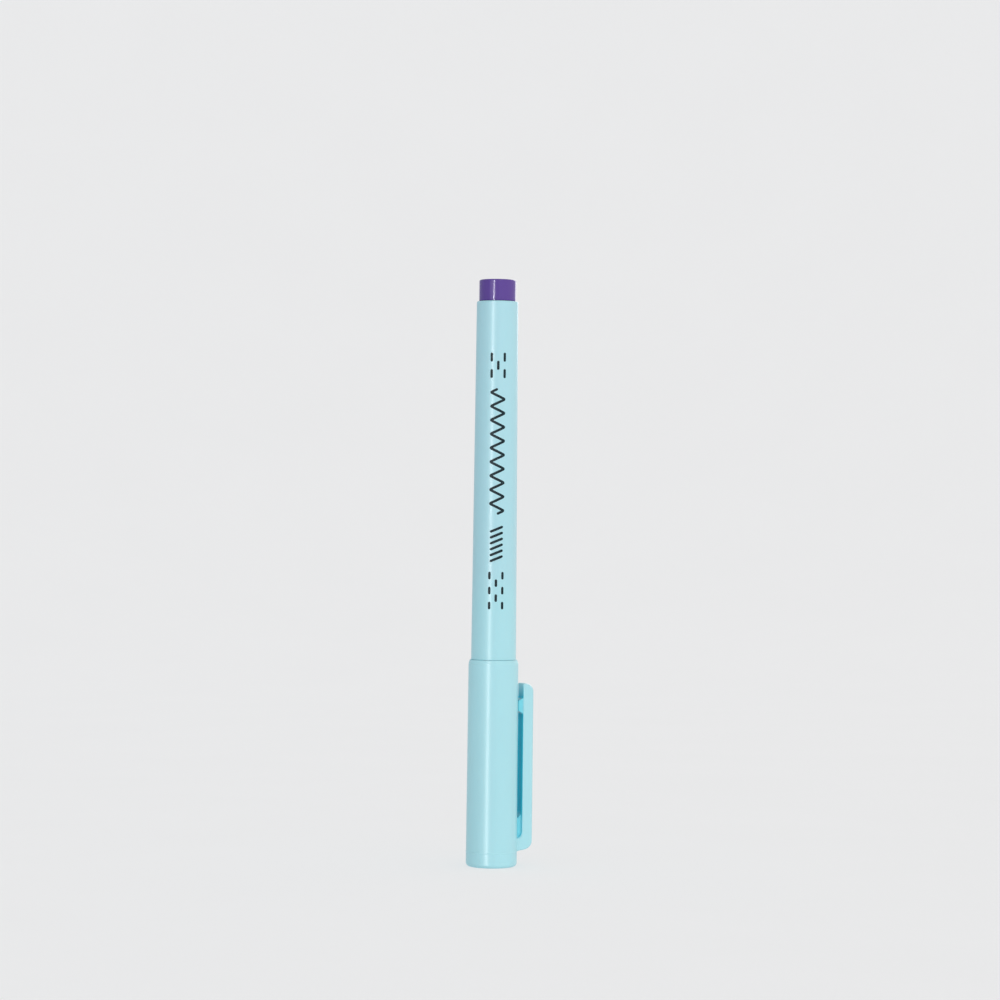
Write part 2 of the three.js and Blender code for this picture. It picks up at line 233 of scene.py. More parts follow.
def corner_arc(back, corner, ahead, rounding):
    """Points round a corner between its two neighbours, with a support point on either side."""
    to_back, to_ahead = back - corner, ahead - corner
    room = min(np.linalg.norm(to_back), np.linalg.norm(to_ahead)) / 2
    to_back = to_back / np.linalg.norm(to_back)
    to_ahead = to_ahead / np.linalg.norm(to_ahead)
    half = math.acos(max(-1.0, min(1.0, float(to_back @ to_ahead)))) / 2
    reach = min(rounding / math.tan(half), room * ARC_ROOM)
    radius = reach * math.tan(half)
    middle = to_back + to_ahead
    centre = corner + middle / np.linalg.norm(middle) * radius / math.sin(half)
    start, end = corner + to_back * reach - centre, corner + to_ahead * reach - centre
    turn = math.atan2(start[0] * end[1] - start[1] * end[0], start @ end)
    steps = max(2, math.ceil(abs(math.degrees(turn)) / ARC_DEGREES))
    points = []
    for step in range(steps + 1):
        angle = turn * step / steps
        cosine, sine = math.cos(angle), math.sin(angle)
        points.append(centre + (start[0] * cosine - start[1] * sine, start[0] * sine + start[1] * cosine))
    support = min(SUPPORT, (room - reach) / 2)
    if support > LEAST_SUPPORT:
        points.insert(0, corner + to_back * (reach + support))
        points.append(corner + to_ahead * (reach + support))
    return points


def outline_points(corners, closed):
    """An outline of (radius, height, rounding) corners, with its arcs and with its long stretches divided."""
    places = [np.array(corner[:2], float) for corner in corners]
    last = len(corners) - 1
    points = []
    for index, corner in enumerate(corners):
        on_end = not closed and index in (0, last)
        if on_end or not corner[2]:
            points.append(places[index])
        else:
            ahead = places[(index + 1) % len(places)]
            points += corner_arc(places[index - 1], places[index], ahead, corner[2])
    divided = []
    pairs = zip(points, points[1:] + points[:1]) if closed else zip(points, points[1:])
    for start, end in pairs:
        parts = max(1, math.ceil(np.linalg.norm(end - start) / RING_SPACING))
        divided += [start + (end - start) * part / parts for part in range(parts)]
    return divided if closed else divided + [points[-1]]


def turned(name, corners, sides, closed=False):
    """A piece turned about the pen's axis. An open outline starts and ends on the axis."""
    vertices, rings = [], []
    for across, height in outline_points(corners, closed):
        if across < ON_AXIS:
            rings.append([len(vertices)] * sides)
            vertices.append((0, 0, height))
            continue
        rings.append(list(range(len(vertices), len(vertices) + sides)))
        for side in range(sides):
            angle = 2 * math.pi * side / sides
            vertices.append((across * math.cos(angle), across * math.sin(angle), height))
    faces = []
    for ring, above in zip(rings, rings[1:] + (rings[:1] if closed else [])):
        for side in range(sides):
            ahead = (side + 1) % sides
            corners_of_face = (ring[side], ring[ahead], above[ahead], above[side])
            faces.append(tuple(dict.fromkeys(corners_of_face)))
    return make_mesh(name, vertices, [face for face in faces if len(face) > 2])


# ---------------------------------------------------------------- turned pieces

# Each corner of an outline is (radius, height, rounding of the corner)

def cap_body():
    """The cap's shell, from the gate's dimple round the outside, over the lip and down the bore."""
    lip_start = CAP_LENGTH - CAP_LIP_HEIGHT
    ring_low, ring_high = RING_HEIGHT - RING_HALF_WIDTH, RING_HEIGHT + RING_HALF_WIDTH
    gate_top = GATE_DEPTH - GATE_NUB_HEIGHT
    return turned("cap_body", [
        (0, gate_top, 0),
        (GATE_NUB_RADIUS, gate_top, 0.06),
        (GATE_NUB_RADIUS, GATE_DEPTH, 0.04),
        (GATE_RADIUS - GATE_DRAFT, GATE_DEPTH, 0.08),
        (GATE_RADIUS, 0, 0.06),
        (CAP_END_RADIUS, 0, CAP_END_ROUNDING),
        (cap_radius(ring_low), ring_low, 0.04),
        (cap_radius(RING_HEIGHT) + RING_PROUD, RING_HEIGHT, 0.12),
        (cap_radius(ring_high), ring_high, 0.04),
        (CAP_MOUTH_RADIUS, lip_start, 0.3),
        (CAP_LIP_RADIUS, CAP_LENGTH, 0.08),
        (cap_bore(CAP_LENGTH) + CAP_MOUTH_LEAD, CAP_LENGTH, 0.05),
        (cap_bore(CAP_LENGTH - CAP_MOUTH_LEAD), CAP_LENGTH - CAP_MOUTH_LEAD, 0.1),
        (CAP_BORE_AT_FLOOR, CAP_FLOOR, 0.08),
        (0, CAP_FLOOR, 0),
    ], SHELL_SIDES)


def inner_cap_body():
    """The liner that seals round the nib holder, open at both ends with a web across it."""
    return turned("inner_cap_body", [
        (0, LINER_WEB_BOTTOM, 0),
        (LINER_FOOT_BORE, LINER_WEB_BOTTOM, 0.2),
        (LINER_FOOT_BORE, LINER_BOTTOM, 0.08),
        (cap_bore(LINER_BOTTOM) - LINER_GAP, LINER_BOTTOM, 0.08),
        (cap_bore(LINER_MOUTH) - LINER_GAP, LINER_MOUTH, 0.1),
        (LINER_SEAL_RADIUS + LINER_LEAD, LINER_MOUTH, 0.08),
        (LINER_SEAL_RADIUS, LINER_MOUTH - LINER_LEAD, 0.1),
        (LINER_SEAL_RADIUS, LINER_SEAL_START, 0.1),
        (LINER_CAVITY_AT_SEAL, LINER_SEAL_START - LINER_LEAD, 0.1),
        (LINER_CAVITY_AT_WEB, LINER_WEB_TOP, 0.5),
        (0, LINER_WEB_TOP, 0),
    ], INNER_SIDES)


def barrel_body():
    """The barrel's tube, from the front of its neck past the bead and shoulder to the tail."""
    return turned("barrel_body", [
        (NECK_BORE + SEAT_GAP, NECK_START, 0),
        (NECK_RADIUS - NECK_LEAD, NECK_START, 0.1),
        (NECK_RADIUS, NECK_START + NECK_LEAD, 0.15),
        (NECK_RADIUS, BEAD_HEIGHT - BEAD_HALF_WIDTH, 0.15),
        (BEAD_RADIUS, BEAD_HEIGHT - BEAD_HALF_FLAT, 0.2),
        (BEAD_RADIUS, BEAD_HEIGHT + BEAD_HALF_FLAT, 0.2),
        (NECK_RADIUS, BEAD_HEIGHT + BEAD_HALF_WIDTH, 0.15),
        (NECK_RADIUS, SHOULDER_HEIGHT, 0.1),
        (SHOULDER_RADIUS, SHOULDER_HEIGHT, BARREL_EDGE),
        (TAIL_RADIUS, BARREL_END, BARREL_RIM),
        (BORE_AT_TAIL, BARREL_END, 0.08),
        (BORE_AT_NECK, NECK_BORE_TOP, 0.05),
        (NECK_BORE, NECK_BORE_TOP, 0.05),
        (NECK_BORE, NECK_START + SEAT_GAP, 0),
    ], SHELL_SIDES, closed=True)


def nib_holder_body():
    """The front section: a tube for the nib, a cone, the sealing band, a flange and the spigot behind it."""
    bore = NIB_RADIUS + SEAT_GAP
    spigot = NECK_BORE - SEAT_GAP
    flange_top = NECK_START - SEAT_GAP
    return turned("nib_holder_body", [
        (bore, HOLDER_TIP, 0.08),
        (TUBE_RADIUS, HOLDER_TIP, 0.35),
        (TUBE_RADIUS, TUBE_TOP, 0.6),
        (CONE_RADIUS, SEAL_START, 0.3),
        (SEAL_RADIUS, SEAL_START + SEAL_LEAD, 0.12),
        (SEAL_RADIUS, FLANGE_BOTTOM, 0.15),
        (HOLDER_FLANGE_RADIUS, FLANGE_BOTTOM, 0.2),
        (HOLDER_FLANGE_RADIUS, flange_top, 0.12),
        (spigot, flange_top, 0.06),
        (spigot, HOLDER_BACK, 0.1),
        (CUP_RADIUS, HOLDER_BACK, 0.1),
        (CUP_RADIUS, CUP_START, 0.2),
        (bore, CUP_START - CUP_RADIUS + bore, 0.2),
    ], INNER_SIDES, closed=True)


def nib_body():
    """The fibre tip, tapering to a blunt point."""
    return turned("nib_body", [
        (0, NIB_TIP, 0),
        (NIB_POINT_RADIUS, NIB_TIP, NIB_POINT_RADIUS * 0.7),
        (NIB_RADIUS, NIB_TAPER_START, 0.5),
        (NIB_RADIUS, NIB_BACK, 0.1),
        (0, NIB_BACK, 0),
    ], NIB_SIDES)


def reservoir_core_body():
    """The ink-soaked rod, with a socket in its front end for the nib."""
    socket = NIB_RADIUS + SEAT_GAP
    socket_top = NIB_BACK + SEAT_GAP
    return turned("reservoir_core_body", [
        (0, socket_top, 0),
        (socket, socket_top, 0.1),
        (socket, CORE_START, 0.15),
        (CORE_RADIUS, CORE_START, 0.25),
        (CORE_RADIUS, CORE_END, 0.25),
        (0, CORE_END, 0),
    ], INNER_SIDES)


def reservoir_film_body():
    """The thin sleeve round the rod."""
    inner = FILM_RADIUS - FILM_WALL
    return turned("reservoir_film_body", [
        (inner, CORE_START, 0.03),
        (FILM_RADIUS, CORE_START, 0.03),
        (FILM_RADIUS, CORE_END, 0.03),
        (inner, CORE_END, 0.03),
    ], INNER_SIDES, closed=True)


def tail_plug_body():
    """The plug in the tail: a hollow skirt inside the barrel and a head that stands out of it."""
    skirt_top = BARREL_END + SEAT_GAP
    return turned("tail_plug_body", [
        (0, PEN_LENGTH - PLUG_TOP_WALL, 0),
        (PLUG_HOLLOW_RADIUS, PEN_LENGTH - PLUG_TOP_WALL, 0.4),
        (PLUG_HOLLOW_RADIUS, PLUG_SKIRT_BOTTOM, 0.1),
        (barrel_bore(PLUG_SKIRT_BOTTOM) - PLUG_LEAD, PLUG_SKIRT_BOTTOM, 0.1),
        (barrel_bore(PLUG_SKIRT_BOTTOM) - SEAT_GAP, PLUG_SKIRT_BOTTOM + PLUG_LEAD, 0.1),
        (BORE_AT_TAIL - SEAT_GAP, skirt_top, 0.05),
        (PLUG_HEAD_RADIUS, skirt_top, 0.06),
        (PLUG_HEAD_RADIUS, PEN_LENGTH, PLUG_HEAD_ROUNDING),
        (0, PEN_LENGTH, 0),
    ], SHELL_SIDES)


# ---------------------------------------------------------------- clip, from a distance field

def join_round(a, b, radius):
    """Both solids, with a fillet where they meet."""
    corner = np.hypot(np.maximum(radius - a, 0), np.maximum(radius - b, 0))
    return np.maximum(radius, np.minimum(a, b)) - corner


def cut_round(a, b, radius):
    """What lies in both solids, with the edge between them rounded."""
    corner = np.hypot(np.maximum(radius + a, 0), np.maximum(radius + b, 0))
    return np.minimum(-radius, np.maximum(a, b)) + corner


def clip_arm(x, y, z):
    """The root block and the arm in one: a crowned bar with the space over the root's top cut out of it."""
    crown = np.hypot(x - (CLIP_OUTER - CROWN_RADIUS), y) - CROWN_RADIUS
    underside = ROOT_BOTTOM + ROOT_SLOPE * (x - CAP_END_RADIUS) - z
    underside = underside / math.hypot(1, ROOT_SLOPE)
    outside = cut_round(crown, underside, ROOT_ROUNDING)
    outside = cut_round(outside, z - CLIP_TIP, TIP_ROUNDING)
    hook = join_round(CLIP_INNER - x, z - ROOT_TOP, INNER_FILLET)
    return cut_round(cut_round(outside, hook, INNER_TIP_ROUNDING), np.abs(y) - CLIP_HALF_WIDTH, ARM_EDGE)


def clip_web(x, y, z):
    """The narrow web over the root, between the arm and the cap."""
    slope = (WEB_TOP_AT_ARM - WEB_TOP_AT_CAP) / (CLIP_INNER - CAP_END_RADIUS)
    top = (z - WEB_TOP_AT_ARM - slope * (x - CLIP_INNER)) / math.hypot(1, slope)
    bar = cut_round(np.abs(y) - WEB_HALF_WIDTH, top, WEB_FILLET)
    return np.maximum(np.maximum(bar, WEB_BOTTOM - z), x - (CLIP_INNER + INTO_ARM))


def clip_pad(x, y, z):
    """The pad near the clip's tip, hollowed to follow the cap's wall."""
    lean = PAD_SLOPE / PAD_DEPTH
    inset = np.maximum(CLIP_INNER - x, 0) * lean
    lower = (PAD_BOTTOM + inset - z) / math.hypot(1, lean)
    upper = (z - PAD_TOP + inset) / math.hypot(1, lean)
    block = cut_round(np.maximum(lower, upper), cap_radius(z) + PAD_GAP - np.hypot(x, y), PAD_EDGE)
    return np.maximum(cut_round(block, np.abs(y) - PAD_HALF_WIDTH, PAD_EDGE), x - (CLIP_INNER + INTO_ARM))


def clip_solid(x, y, z):
    """The clip as a distance field, with its foot flared on to the cap's wall and buried in it."""
    wall = np.hypot(x, y) - cap_radius(z)
    body = join_round(clip_arm(x, y, z), clip_web(x, y, z), WEB_FILLET)
    body = join_round(body, clip_pad(x, y, z), WEB_FILLET)
    flared = join_round(body, wall + FOOT_UNDERCUT, FOOT_FILLET)
    foot = np.maximum(flared, body - FOOT_SPREAD)
    whole = np.where(z < FOOT_TOP, foot, body)
    return np.maximum(whole, -(wall + FOOT_BURIED))


def surface_net(solid, low, high, step):
    """Quads over the zero level of a distance field, with a vertex in each grid cell that it crosses."""
    axes = [np.arange(low[axis], high[axis] + step, step) for axis in range(3)]
    grid = np.meshgrid(*axes, indexing="ij")
    field = solid(*grid)
    shape = np.array(field.shape) - 1
    total, count = np.zeros((*shape, 3)), np.zeros(shape)
    quads = []
    for axis in range(3):
        near = [slice(None)] * 3
        far = [slice(None)] * 3
        near[axis], far[axis] = slice(0, -1), slice(1, None)
        at_near, at_far = field[tuple(near)], field[tuple(far)]
        edges = np.argwhere((at_near < 0) != (at_far < 0))
        values = at_near[tuple(edges.T)], at_far[tuple(edges.T)]
        points = np.stack([axes[k][edges[:, k]] for k in range(3)], 1)
        points[:, axis] += step * values[0] / (values[0] - values[1])
        side, up = (axis + 1) % 3, (axis + 2) % 3
        around = []
        for back_side, back_up in ((0, 0), (1, 0), (1, 1), (0, 1)):
            cell = edges.copy()
            cell[:, side] -= back_side
            cell[:, up] -= back_up
            np.add.at(total, tuple(cell.T), points)
            np.add.at(count, tuple(cell.T), 1)
            around.append(cell)
        quads.append(np.stack(around, 1))
    used = count > 0
    number = np.full(shape, -1)
    number[used] = np.arange(used.sum())
    vertices = total[used] / count[used][:, None]
    quads = np.concatenate(quads)
    return vertices, number[quads[..., 0], quads[..., 1], quads[..., 2]]


def settle(vertices, solid):
    """Moves vertices on to the zero level of a distance field, in a few steps down its slope."""
    reach = CLIP_MESH_STEP / 20
    for _ in range(SETTLING_ROUNDS):
        slope = np.zeros_like(vertices)
        for axis in range(3):
            nudge = np.zeros(3)
            nudge[axis] = reach
            ahead, behind = solid(*(vertices + nudge).T), solid(*(vertices - nudge).T)
            slope[:, axis] = (ahead - behind) / (2 * reach)
        steepness = np.maximum((slope ** 2).sum(1), LEAST_STEEPNESS)
        vertices = vertices - slope * (solid(*vertices.T) / steepness)[:, None]
    return vertices


def clip_body():
    """The pocket clip, bent and filleted, with its foot moulded into the cap."""
    low = np.subtract((CAP_MOUTH_RADIUS, -CLIP_HALF_WIDTH, ROOT_BOTTOM), PAST_CLIP_LOW)
    high = np.add((CLIP_OUTER, CLIP_HALF_WIDTH, CLIP_TIP), PAST_CLIP_HIGH)
    vertices, quads = surface_net(clip_solid, low, high, CLIP_MESH_STEP)
    return make_mesh("clip_body", settle(vertices, clip_solid), quads.tolist())


# ---------------------------------------------------------------- printed stitch marks

PRINT_TURN = 4  # degrees from facing the camera, to its right
PRINT_BEARING = math.radians(CAMERA_BEARING - 90 + PRINT_TURN)
PRINT_HEIGHT = 3.7  # across the pen
STROKE = 0.6
PRINT_REACH = PRINT_HEIGHT / 2 - STROKE / 2  # from the print's middle line to its outermost stroke's
STROKE_STEP = 0.12
STROKE_TIP = 0.02  # square of the share of its width that a stroke keeps at its very end
INK_PROUD = 0.015
INK_BURIED = 0.03

# The four blocks of stitches, from the cap towards the tail: where each starts and ends along the pen
FIRST_RUN, FIRST_RUN_DASHES = (60.3, 69.7), 3
SLANTED_BARS, BAR_COUNT, BAR_LEAN = (71.5, 80.3), 6, 1.3
ZIGZAG, ZIGZAG_TURNS, ZIGZAG_SHARPNESS = (82.9, 112.2), 9, 0.985
LAST_RUN, LAST_RUN_DASHES = (114.4, 121.0), 2
DASH_GAP = 1.1

# Across a stroke, as (share of its half width, height over the barrel)
STROKE_SECTION = (
    (-1, -INK_BURIED),
    (-1, 0.2 * INK_PROUD),
    (-0.8, 0.8 * INK_PROUD),
    (0, INK_PROUD),
    (0.8, 0.8 * INK_PROUD),
    (1, 0.2 * INK_PROUD),
    (1, -INK_BURIED),
)


def ribbon(line, vertices, faces):
    """A low, domed stroke of ink along a line of [around, along] points on the barrel."""
    line = np.asarray(line, float)
    direction = np.gradient(line, axis=0)
    direction = direction / np.linalg.norm(direction, axis=1)[:, None]
    normal = np.stack([-direction[:, 1], direction[:, 0]], 1)
    reached = np.concatenate([[0], np.cumsum(np.linalg.norm(np.diff(line, axis=0), axis=1))])
    from_end = np.minimum(reached, reached[-1] - reached) / (STROKE / 2)
    width = STROKE / 2 * np.sqrt(np.clip(1 - (1 - from_end).clip(0) ** 2, STROKE_TIP, 1))
    first = len(vertices)
    for place, across, half in zip(line, normal, width):
        for offset, lift in STROKE_SECTION:
            around, along = place + across * half * offset
            radius = barrel_radius(along)
            angle = PRINT_BEARING + around / radius
            radius += lift
            vertices.append((radius * math.cos(angle), radius * math.sin(angle), along))
    size, count = len(STROKE_SECTION), len(line)
    for index in range(count - 1):
        here, there = first + index * size, first + (index + 1) * size
        for side in range(size):
            ahead = (side + 1) % size
            faces.append((here + side, here + ahead, there + ahead, there + side))
    faces.append(tuple(range(first, first + size)))
    faces.append(tuple(range(first + (count - 1) * size, first + count * size)))


def straight(start, end):
    """Evenly spaced points from one [around, along] point to another."""
    start, end = np.array(start, float), np.array(end, float)
    count = max(4, math.ceil(np.linalg.norm(end - start) / STROKE_STEP) + 1)
    return [start + (end - start) * step / (count - 1) for step in range(count)]


def zigzag(low, high, turns):
    """A straight-sided zigzag along the pen, with its points slightly rounded."""
    count = math.ceil((high - low) * 2 / STROKE_STEP)
    share = np.linspace(0, 1, count)
    wave = np.arcsin(ZIGZAG_SHARPNESS * np.sin(share * turns * 2 * math.pi))
    return np.stack([PRINT_REACH * wave / math.asin(ZIGZAG_SHARPNESS), low + share * (high - low)], 1)


def running_stitch(low, high, dashes, gap, vertices, faces):
    """Three rows of dashes along the pen, with the middle row's dashes beside the others' gaps."""
    dash = (high - low - gap * (dashes - 1)) / dashes
    for row, around in enumerate((-PRINT_REACH, 0, PRINT_REACH)):
        middle = row == 1
        for number in range(dashes - 1 if middle else dashes):
            start = low + number * (dash + gap) + ((dash + gap) / 2 if middle else 0)
            line = straight((around, start + STROKE / 2), (around, start + dash - STROKE / 2))
            ribbon(line, vertices, faces)


def slanted_stitch(low, high, stitches, lean, vertices, faces):
    """Parallel slanted bars across the pen."""
    for start in np.linspace(low + STROKE / 2, high - lean - STROKE / 2, stitches):
        ribbon(straight((-PRINT_REACH, start), (PRINT_REACH, start + lean)), vertices, faces)


def print_marks():
    """A sampler of plain stitches: running, slanted, zigzag and running again."""
    vertices, faces = [], []
    running_stitch(*FIRST_RUN, FIRST_RUN_DASHES, DASH_GAP, vertices, faces)
    slanted_stitch(*SLANTED_BARS, BAR_COUNT, BAR_LEAN, vertices, faces)
    ribbon(zigzag(*ZIGZAG, ZIGZAG_TURNS), vertices, faces)
    running_stitch(*LAST_RUN, LAST_RUN_DASHES, DASH_GAP, vertices, faces)
    return make_mesh("print_marks", vertices, faces)


# ---------------------------------------------------------------- materials

AQUA = (0.43, 0.766, 0.823, 1)
# Painted shade: the saturated teal that the aqua plastic shows in the clip's slot and in gaps, where it is in
# shade
AQUA_IN_SHADE = (0.01, 0.64, 0.8, 1)
AQUA_OVER_INK = (0.438, 0.726, 0.796, 1)
# The second colour on each of the next three lines is painted shade, mixed in where the piece is closed in by
# the parts round it
PURPLE, PURPLE_IN_SHADE = (0.106, 0.05, 0.292, 1), (0.03, 0.015, 0.09, 1)
LINER_WHITE, LINER_IN_SHADE = (0.8, 0.84, 0.85), (0.4, 0.48, 0.5, 1)
HOLDER_WHITE, HOLDER_IN_SHADE = (0.87, 0.87, 0.83), (0.5, 0.48, 0.42, 1)
NIB_PURPLE, NIB_DARK = (0.24, 0.12, 0.44, 1), (0.09, 0.04, 0.2, 1)
CORE_PURPLE, CORE_DARK = (0.36, 0.26, 0.55, 1), (0.2, 0.11, 0.38, 1)
FILM_GREY, FILM_PALE = (0.74, 0.79, 0.83, 1), (0.84, 0.87, 0.9, 1)
INK = (0.004, 0.016, 0.021, 1)
RUBBED_PALE = (0.93, 0.97, 0.98, 1)

SOFT = 0.3, 0.7  # the part of a noise's range that fades evenly from patch to patch
NODE_SAMPLES = 4  # of the bevel and occlusion nodes
INK_SHOWS_FROM, INK_SHOWS_FULLY, INK_SHOWS_BY = 62, 69, 0.8
WEB_SHARE = 0.52  # of the slot's painted shade that the web and pad take
CREVICE_REACH = 1.4
CREVICE_STARTS, CREVICE_FULL = 0.25, 0.6  # how closed in a place has to be for painted shade to start and to be full
FLOOR_FADE = 1.2, 3.2  # heights between which the floor below stops counting as a gap for painted shade
EDGE_WIDTH = 0.12
EDGE_STARTS, EDGE_FULL = 0.995, 0.86  # cosines between the rounded and the true normal
CAPWARD_STARTS, CAPWARD_FULL = -0.45, -0.95  # X of a normal that faces the cap
PLASTIC_IOR = 1.49
SHINE, SHINE_IN_GAPS, SHINE_OF_INK = 0.5, 0.02, 0.25
GLOW_COLOUR_REACH, GLOW_DEPTH = (0.6, 1.0, 1.1), 0.9


class Graph:
    """A material's node tree, built one call at a time. Sizes are in millimetres."""

    def __init__(self, name):
        self.material = bpy.data.materials.new(name)
        self.material.use_nodes = True
        self.tree = self.material.node_tree
        self.tree.nodes.clear()

    def node(self, kind, output=0, settings=(), **inputs):
        """Adds a node and gives one of its outputs.

        An input is named with _ for a space, or numbered after a _, as in _6 for input 6. Another node's
        output is linked to it, and anything else becomes its value.
        """
        made = self.tree.nodes.new("ShaderNode" + kind)
        for name, value in dict(settings).items():
            setattr(made, name, value)
        for name, value in inputs.items():
            socket = made.inputs[int(name[1:]) if name[1:].isdigit() else name.replace("_", " ")]
            if isinstance(value, bpy.types.NodeSocket):
                self.tree.links.new(value, socket)
            else:
                socket.default_value = value
        return made.outputs[output]

    def place(self, stretch=(1, 1, 1)):
        """Object coordinates in millimetres. A stretch below 1 draws a pattern out along that axis."""
        where = self.node("TexCoord", "Object")
        scale = tuple(1 / MM * share for share in stretch)
        return self.node("VectorMath", settings={"operation": "MULTIPLY"}, _0=where, _1=scale)

    def noise(self, per_mm, detail=3, stretch=(1, 1, 1)):
        """Noise with about this many waves to a millimetre."""
        return self.node("TexNoise", "Fac", Vector=self.place(stretch), Scale=per_mm, Detail=detail)

    def ramp(self, value, low, high, at_low=0.0, at_high=1.0):
        """A value between low and high, moved to between at_low and at_high, and held there past them."""
        return self.node("MapRange", Value=value, From_Min=low, From_Max=high, To_Min=at_low, To_Max=at_high)

    def mix(self, share, first, second):
        """A colour between two: the Mix node's inputs 6 and 7, and its output 2."""
        return self.node("Mix", 2, {"data_type": "RGBA"}, _0=share, _6=first, _7=second)

    def choose(self, share, first, second):
        """A number between two: the Mix node's inputs 2 and 3, and its output 0."""
        return self.node("Mix", 0, {"data_type": "FLOAT"}, _0=share, _2=first, _3=second)

    def maths(self, operation, first, second):
        """One sum on two numbers."""
        return self.node("Math", settings={"operation": operation}, _0=first, _1=second)

    def edge(self, radius):
        """1 along the piece's edges and 0 on its open faces."""
        soft = self.node("Bevel", settings={"samples": NODE_SAMPLES}, Radius=radius * MM)
        true = self.node("NewGeometry", "Normal")
        alike = self.node("VectorMath", "Value", {"operation": "DOT_PRODUCT"}, _0=soft, _1=true)
        return self.ramp(alike, EDGE_STARTS, EDGE_FULL)

    def crevice(self, reach):
        """How closed in a place is, which sets the painted shade: 1 far into a gap, and 0 in the open or next
        to the floor.
        """
        open_share = self.node("AmbientOcclusion", "AO", {"samples": NODE_SAMPLES}, Distance=reach * MM)
        off_the_floor = self.part_of(self.place(), "Z", *FLOOR_FADE)
        return self.maths("MULTIPLY", self.maths("SUBTRACT", 1.0, open_share), off_the_floor)

    def part_of(self, vector, axis, low, high, at_low=0.0, at_high=1.0):
        """A ramp over one part of a vector: X, Y or Z."""
        return self.ramp(self.node("SeparateXYZ", axis, Vector=vector), low, high, at_low, at_high)

    def clip_slot_shade(self):
        """Where the clip's slot is painted in shade: 1 on the arm's side towards the cap, less on the web and
        pad, and 0 on the rest of the clip.
        """
        where = self.place()
        across = self.node("VectorMath", settings={"operation": "ABSOLUTE"}, _0=where)
        facing = self.part_of(self.node("NewGeometry", "Normal"), "X", CAPWARD_STARTS, CAPWARD_FULL)
        above_web = self.part_of(where, "Z", WEB_TOP_AT_CAP - 0.3, WEB_TOP_AT_ARM + 0.4)
        share = self.choose(self.maths("MULTIPLY", facing, above_web), WEB_SHARE, 1.0)
        # Each window rises to 1 from a place outside the slot to one inside it
        for window in (
            self.part_of(where, "X", CLIP_INNER + 1.1, CLIP_INNER + 0.1),
            self.part_of(across, "Y", CLIP_HALF_WIDTH - 0.02, CLIP_HALF_WIDTH - 0.3),
            self.part_of(where, "Z", ROOT_TOP - 0.1, ROOT_TOP + 0.6),
            self.part_of(where, "Z", CLIP_TIP - 0.2, PAD_TOP, at_low=0.1),
        ):
            share = self.maths("MULTIPLY", share, window)
        return share

    def finish(self, **inputs):
        """Ends the tree with a principled surface, and gives the material."""
        surface = self.node("BsdfPrincipled", **inputs)
        end = self.tree.nodes.new("ShaderNodeOutputMaterial")
        self.tree.links.new(surface, end.inputs["Surface"])
        return self.material


def shade(colour, factor):
    """A colour made lighter or darker."""
    return tuple(min(1.0, channel * factor) for channel in colour[:3]) + (1.0,)


CAP_AQUA = shade(AQUA, 1.01)  # the cap and clip are a shade lighter than the barrel


def moulded(name, colour, shade_colour, rough, glow=0.0, scuff=0.3, wave=6.0, most_shade=1.0, slot=False,
            over_ink=None):
    """Injection-moulded plastic: faint flow clouding, fine grain, rubbed edges and painted shade in gaps.

    shade_colour is the colour painted as shade in gaps, and most_shade is the most of it that a gap takes.
    With slot, only the clip's slot gets painted shade. glow is how much light the wall scatters, scuff how
    pale its rubbed edges are and wave how far it swells. over_ink is the colour where the reservoir shows
    faintly through the wall.
    """
    graph = Graph(name)
    clouds = graph.ramp(graph.noise(per_mm=0.12, stretch=(1, 1, 0.35)), *SOFT)
    body = graph.mix(clouds, shade(colour, 0.985), shade(colour, 1.012))
    if over_ink:
        filled = graph.part_of(graph.place(), "Z", INK_SHOWS_FROM, INK_SHOWS_FULLY, 0, INK_SHOWS_BY)
        body = graph.mix(filled, body, over_ink)
    # Painted shade: gap rises where a place is closed in, or in the clip's slot, and the colour darkens there
    # to the shaded colour; reflections are dimmed there too
    if slot:
        gap = graph.clip_slot_shade()
    else:
        gap = graph.ramp(graph.crevice(CREVICE_REACH), CREVICE_STARTS, CREVICE_FULL, 0, most_shade)
    body = graph.mix(gap, body, shade_colour)
    patches = graph.ramp(graph.noise(per_mm=1.8, detail=4), 0.4, 0.7)
    worn = graph.maths("MULTIPLY", graph.edge(EDGE_WIDTH), patches)
    worn = graph.maths("MULTIPLY", worn, graph.maths("SUBTRACT", 1.0, gap))
    body = graph.mix(graph.maths("MULTIPLY", worn, scuff), body, RUBBED_PALE)
    rubbed = graph.noise(per_mm=0.35, detail=5, stretch=(1, 1, 0.5))
    rubbed = graph.ramp(rubbed, 0.35, 0.7, rough - 0.015, rough + 0.03)
    scratches = graph.ramp(graph.noise(per_mm=3.2, detail=2, stretch=(1, 1, 0.06)), 0.62, 0.78, 0, 0.04)
    grain = graph.noise(per_mm=9, detail=2)
    flow = graph.noise(per_mm=0.25, detail=2, stretch=(1, 1, 0.3))
    height = graph.maths("ADD", grain, graph.maths("MULTIPLY", flow, wave))
    bump = graph.node("Bump", Strength=0.12, Distance=0.004 * MM, Height=height)
    return graph.finish(
        Base_Color=body,
        Roughness=graph.maths("ADD", rubbed, scratches),
        Normal=bump,
        IOR=PLASTIC_IOR,
        Specular_IOR_Level=graph.ramp(gap, 0, 1, SHINE, SHINE_IN_GAPS),
        Subsurface_Weight=glow,
        Subsurface_Radius=GLOW_COLOUR_REACH,
        Subsurface_Scale=GLOW_DEPTH * MM,
    )


def fibre(name, colour, dark):
    """Bonded fibre that runs along the pen."""
    graph = Graph(name)
    strands = graph.noise(per_mm=9, stretch=(1, 1, 0.05))
    soaked = graph.ramp(graph.noise(per_mm=0.5), *SOFT)
    body = graph.mix(graph.ramp(strands, 0.35, 0.65), dark, colour)
    body = graph.mix(graph.maths("MULTIPLY", soaked, 0.35), body, dark)
    bump = graph.node("Bump", Strength=0.7, Distance=0.03 * MM, Height=strands)
    return graph.finish(Base_Color=body, Roughness=graph.ramp(strands, 0, 1, 0.95, 0.7), Normal=bump)


